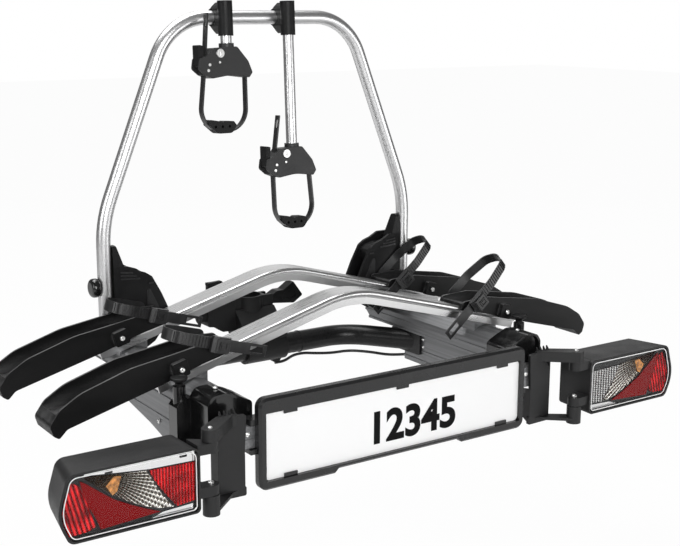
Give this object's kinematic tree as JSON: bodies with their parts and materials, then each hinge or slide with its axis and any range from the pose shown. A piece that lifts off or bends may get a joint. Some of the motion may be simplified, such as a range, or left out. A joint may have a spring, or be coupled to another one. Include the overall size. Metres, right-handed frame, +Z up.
{
  "type": "towball bicycle carrier",
  "caption": "Platform carrier for bicycles on a car's towball, with a hoop, clamp arms, wheel trays, folding lamps and a plate holder.",
  "frame": {"origin": "centre of the towball in the coupling's socket", "axes": "+X to the right seen from behind the car, +Y towards the car, +Z up"},
  "size_m": [1.2204, 0.5785, 0.7442],
  "materials": {
    "brushed_aluminium": "brushed",
    "beam_aluminium": "satin anodised",
    "black_steel": "satin black paint",
    "cast_metal": "satin black paint on a casting",
    "black_plastic": "fine-grained",
    "gloss_black_plastic": "polished",
    "strap_plastic": "satin",
    "pad_rubber": "soft",
    "holder_plastic": "satin dark grey",
    "plate_white": "reflective white, bare",
    "zinc_steel": "zinc plated",
    "lamp_plastic": "satin black",
    "lens_plastic": "clear, red and amber",
    "cable_rubber": "satin sheath"
  },
  "bodies": {
    "coupling": {"coupling_body": "cast_metal", "tilt_bushes": "gloss_black_plastic"},
    "coupling_clamp_lever": {"coupling_clamp_lever": "black_plastic"},
    "coupling_jaw": {"coupling_jaw": "zinc_steel"},
    "coupling_lock_knob": {"coupling_lock_knob": "black_plastic"},
    "tilt_lever": {"tilt_lever": "black_plastic"},
    "platform": {"main_tube": "black_steel", "left_beam": "beam_aluminium", "right_beam": "beam_aluminium", "beam_front_plugs": "black_plastic", "left_end_cap": "gloss_black_plastic", "right_end_cap": "gloss_black_plastic", "rear_rail": "brushed_aluminium", "front_rail": "brushed_aluminium", "rail_saddles": "beam_aluminium", "light_bar": "beam_aluminium", "plate_holder": "holder_plastic", "number_plate": "plate_white", "plate_clips": "holder_plastic", "left_lamp_bracket": "black_plastic", "right_lamp_bracket": "black_plastic", "lamp_hinge_pins": "zinc_steel", "left_hoop_foot": "black_plastic", "right_hoop_foot": "black_plastic", "cable": "cable_rubber"},
    "left_pull_knob": {"left_pull_knob": "black_plastic"},
    "right_pull_knob": {"right_pull_knob": "black_plastic"},
    "hoop": {"hoop": "brushed_aluminium"},
    "left_hoop_knob": {"left_hoop_knob": "gloss_black_plastic"},
    "right_hoop_knob": {"right_hoop_knob": "gloss_black_plastic"},
    "left_lamp": {"left_lamp_housing": "lamp_plastic", "left_lamp_lens": "lens_plastic"},
    "right_lamp": {"right_lamp_housing": "lamp_plastic", "right_lamp_lens": "lens_plastic"},
    "short_arm_connector": {"short_arm_connector": "black_plastic"},
    "short_arm": {"short_arm": "brushed_aluminium", "short_clamp_body": "black_plastic", "short_clamp_strap": "strap_plastic", "short_clamp_pad": "pad_rubber"},
    "short_clamp_lever": {"short_clamp_lever": "black_plastic"},
    "short_clamp_lock": {"short_clamp_lock": "zinc_steel"},
    "long_arm_connector": {"long_arm_connector": "black_plastic"},
    "long_arm": {"long_arm": "brushed_aluminium", "long_clamp_body": "black_plastic", "long_clamp_strap": "strap_plastic", "long_clamp_pad": "pad_rubber"},
    "long_clamp_lever": {"long_clamp_lever": "black_plastic"},
    "long_clamp_lock": {"long_clamp_lock": "zinc_steel"},
    "rear_left_tray": {"rear_left_tray": "black_plastic"},
    "rear_left_wheel_strap": {"rear_left_wheel_strap": "strap_plastic"},
    "rear_left_buckle_lever": {"rear_left_buckle_lever": "strap_plastic"},
    "rear_right_tray": {"rear_right_tray": "black_plastic"},
    "rear_right_wheel_strap": {"rear_right_wheel_strap": "strap_plastic"},
    "rear_right_buckle_lever": {"rear_right_buckle_lever": "strap_plastic"},
    "front_left_tray": {"front_left_tray": "black_plastic"},
    "front_left_wheel_strap": {"front_left_wheel_strap": "strap_plastic"},
    "front_left_buckle_lever": {"front_left_buckle_lever": "strap_plastic"},
    "front_right_tray": {"front_right_tray": "black_plastic"},
    "front_right_wheel_strap": {"front_right_wheel_strap": "strap_plastic"},
    "front_right_buckle_lever": {"front_right_buckle_lever": "strap_plastic"}
  },
  "joints": [
    {"name": "platform_tilt", "type": "hinge", "parent": "coupling", "child": "platform", "pos_m": [0, -0.049, -0.0412], "axis": [1, 0, 0], "range_deg": [0, 45]},
    {"name": "tilt_lever_turn", "type": "hinge", "parent": "coupling", "child": "tilt_lever", "pos_m": [-0.077, 0.005, 0.014], "axis": [1, 0, 0], "range_deg": [-20, 0], "stiffness_Nm_per_rad": 0.6, "springref_deg": 2.86},
    {"name": "clamp_lever_turn", "type": "hinge", "parent": "coupling", "child": "coupling_clamp_lever", "pos_m": [0.041, 0, 0.041], "axis": [0, 1, 0], "range_deg": [-70, 0]},
    {"name": "jaw_slide", "type": "slide", "parent": "coupling", "child": "coupling_jaw", "axis": [1, 0, 0], "range_m": [0, 0.003]},
    {"name": "lock_knob_turn", "type": "hinge", "parent": "coupling", "child": "coupling_lock_knob", "pos_m": [-0.108, -0.01, 0.026], "axis": [1, 0, 0], "range_deg": [0, 90]},
    {"name": "left_pull_knob_pull", "type": "slide", "parent": "platform", "child": "left_pull_knob", "axis": [0, 0, 1], "range_m": [0, 0.008], "stiffness_N_per_m": 400, "springref_m": -0.004},
    {"name": "right_pull_knob_pull", "type": "slide", "parent": "platform", "child": "right_pull_knob", "axis": [0, 0, 1], "range_m": [0, 0.008], "stiffness_N_per_m": 400, "springref_m": -0.004},
    {"name": "hoop_fold", "type": "hinge", "parent": "platform", "child": "hoop", "pos_m": [0, -0.066, 0.125], "axis": [1, 0, 0], "range_deg": [0, 25]},
    {"name": "left_hoop_knob_turn", "type": "hinge", "parent": "platform", "child": "left_hoop_knob", "pos_m": [-0.348, -0.066, 0.125], "axis": [1, 0, 0], "continuous": true},
    {"name": "right_hoop_knob_turn", "type": "hinge", "parent": "platform", "child": "right_hoop_knob", "pos_m": [0.348, -0.066, 0.125], "axis": [1, 0, 0], "continuous": true},
    {"name": "short_arm_swing", "type": "hinge", "parent": "hoop", "child": "short_arm_connector", "pos_m": [-0.093, -0.066, 0.589], "axis": [1, 0, 0], "range_deg": [-90, 20]},
    {"name": "short_arm_turn", "type": "hinge", "parent": "short_arm_connector", "child": "short_arm", "pos_m": [-0.093, -0.09496, 0.59052], "axis": [0, 0.0523, 0.9986], "range_deg": [-5, 90]},
    {"name": "short_clamp_lever_lift", "type": "hinge", "parent": "short_arm", "child": "short_clamp_lever", "pos_m": [-0.1515, -0.09936, 0.50663], "axis": [0, 0.9986, -0.0523], "range_deg": [-60, 0]},
    {"name": "short_clamp_lock_turn", "type": "hinge", "parent": "short_arm", "child": "short_clamp_lock", "pos_m": [-0.114, -0.11526, 0.52799], "axis": [0, 0.9986, -0.0523], "range_deg": [0, 90]},
    {"name": "long_arm_swing", "type": "hinge", "parent": "hoop", "child": "long_arm_connector", "pos_m": [0.0366, -0.066, 0.589], "axis": [1, 0, 0], "range_deg": [-90, 20]},
    {"name": "long_arm_turn", "type": "hinge", "parent": "long_arm_connector", "child": "long_arm", "pos_m": [0.0366, -0.09496, 0.59052], "axis": [0, 0.0523, 0.9986], "range_deg": [-90, 90]},
    {"name": "long_clamp_lever_lift", "type": "hinge", "parent": "long_arm", "child": "long_clamp_lever", "pos_m": [-0.0219, -0.10899, 0.32289], "axis": [0, 0.9986, -0.0523], "range_deg": [-60, 0]},
    {"name": "long_clamp_lock_turn", "type": "hinge", "parent": "long_arm", "child": "long_clamp_lock", "pos_m": [0.0156, -0.12489, 0.34425], "axis": [0, 0.9986, -0.0523], "range_deg": [0, 90]},
    {"name": "rear_left_tray_slide", "type": "slide", "parent": "platform", "child": "rear_left_tray", "axis": [-0.9646, 0, -0.2639], "range_m": [0, 0.04]},
    {"name": "rear_left_wheel_strap_swing", "type": "hinge", "parent": "rear_left_tray", "child": "rear_left_wheel_strap", "pos_m": [-0.268, -0.338, 0.083], "axis": [0, 1, 0], "range_deg": [0, 27]},
    {"name": "rear_left_buckle_lever_lift", "type": "hinge", "parent": "rear_left_wheel_strap", "child": "rear_left_buckle_lever", "pos_m": [-0.27761, -0.3889, 0.08576], "axis": [-0.2756, 0, -0.9613], "range_deg": [0, 60]},
    {"name": "rear_right_tray_slide", "type": "slide", "parent": "platform", "child": "rear_right_tray", "axis": [0.9646, 0, -0.2639], "range_m": [0, 0.04]},
    {"name": "rear_right_wheel_strap_swing", "type": "hinge", "parent": "rear_right_tray", "child": "rear_right_wheel_strap", "pos_m": [0.268, -0.338, 0.083], "axis": [0, 1, 0], "range_deg": [0, 24]},
    {"name": "rear_right_buckle_lever_lift", "type": "hinge", "parent": "rear_right_wheel_strap", "child": "rear_right_buckle_lever", "pos_m": [0.27566, -0.3889, 0.08943], "axis": [-0.6428, 0, 0.766], "range_deg": [0, 60]},
    {"name": "front_left_tray_slide", "type": "slide", "parent": "platform", "child": "front_left_tray", "axis": [-0.9646, 0, -0.2639], "range_m": [0, 0.04]},
    {"name": "front_left_wheel_strap_swing", "type": "hinge", "parent": "front_left_tray", "child": "front_left_wheel_strap", "pos_m": [-0.268, -0.115, 0.083], "axis": [0, 1, 0], "range_deg": [0, 27]},
    {"name": "front_left_buckle_lever_lift", "type": "hinge", "parent": "front_left_wheel_strap", "child": "front_left_buckle_lever", "pos_m": [-0.27761, -0.1659, 0.08576], "axis": [-0.2756, 0, -0.9613], "range_deg": [0, 60]},
    {"name": "front_right_tray_slide", "type": "slide", "parent": "platform", "child": "front_right_tray", "axis": [0.9646, 0, -0.2639], "range_m": [0, 0.04]},
    {"name": "front_right_wheel_strap_swing", "type": "hinge", "parent": "front_right_tray", "child": "front_right_wheel_strap", "pos_m": [0.268, -0.115, 0.083], "axis": [0, 1, 0], "range_deg": [0, 24]},
    {"name": "front_right_buckle_lever_lift", "type": "hinge", "parent": "front_right_wheel_strap", "child": "front_right_buckle_lever", "pos_m": [0.27566, -0.1659, 0.08943], "axis": [-0.6428, 0, 0.766], "range_deg": [0, 60]},
    {"name": "left_lamp_fold", "type": "hinge", "parent": "platform", "child": "left_lamp", "pos_m": [-0.37, -0.53, -0.058], "axis": [0, 0, 1], "range_deg": [0, 175]},
    {"name": "right_lamp_fold", "type": "hinge", "parent": "platform", "child": "right_lamp", "pos_m": [0.37, -0.53, -0.058], "axis": [0, 0, 1], "range_deg": [-175, 0]}
  ],
  "couplings": [
    {"joint": "jaw_slide", "follows": "clamp_lever_turn", "m_per_rad": -0.002456}
  ]
}
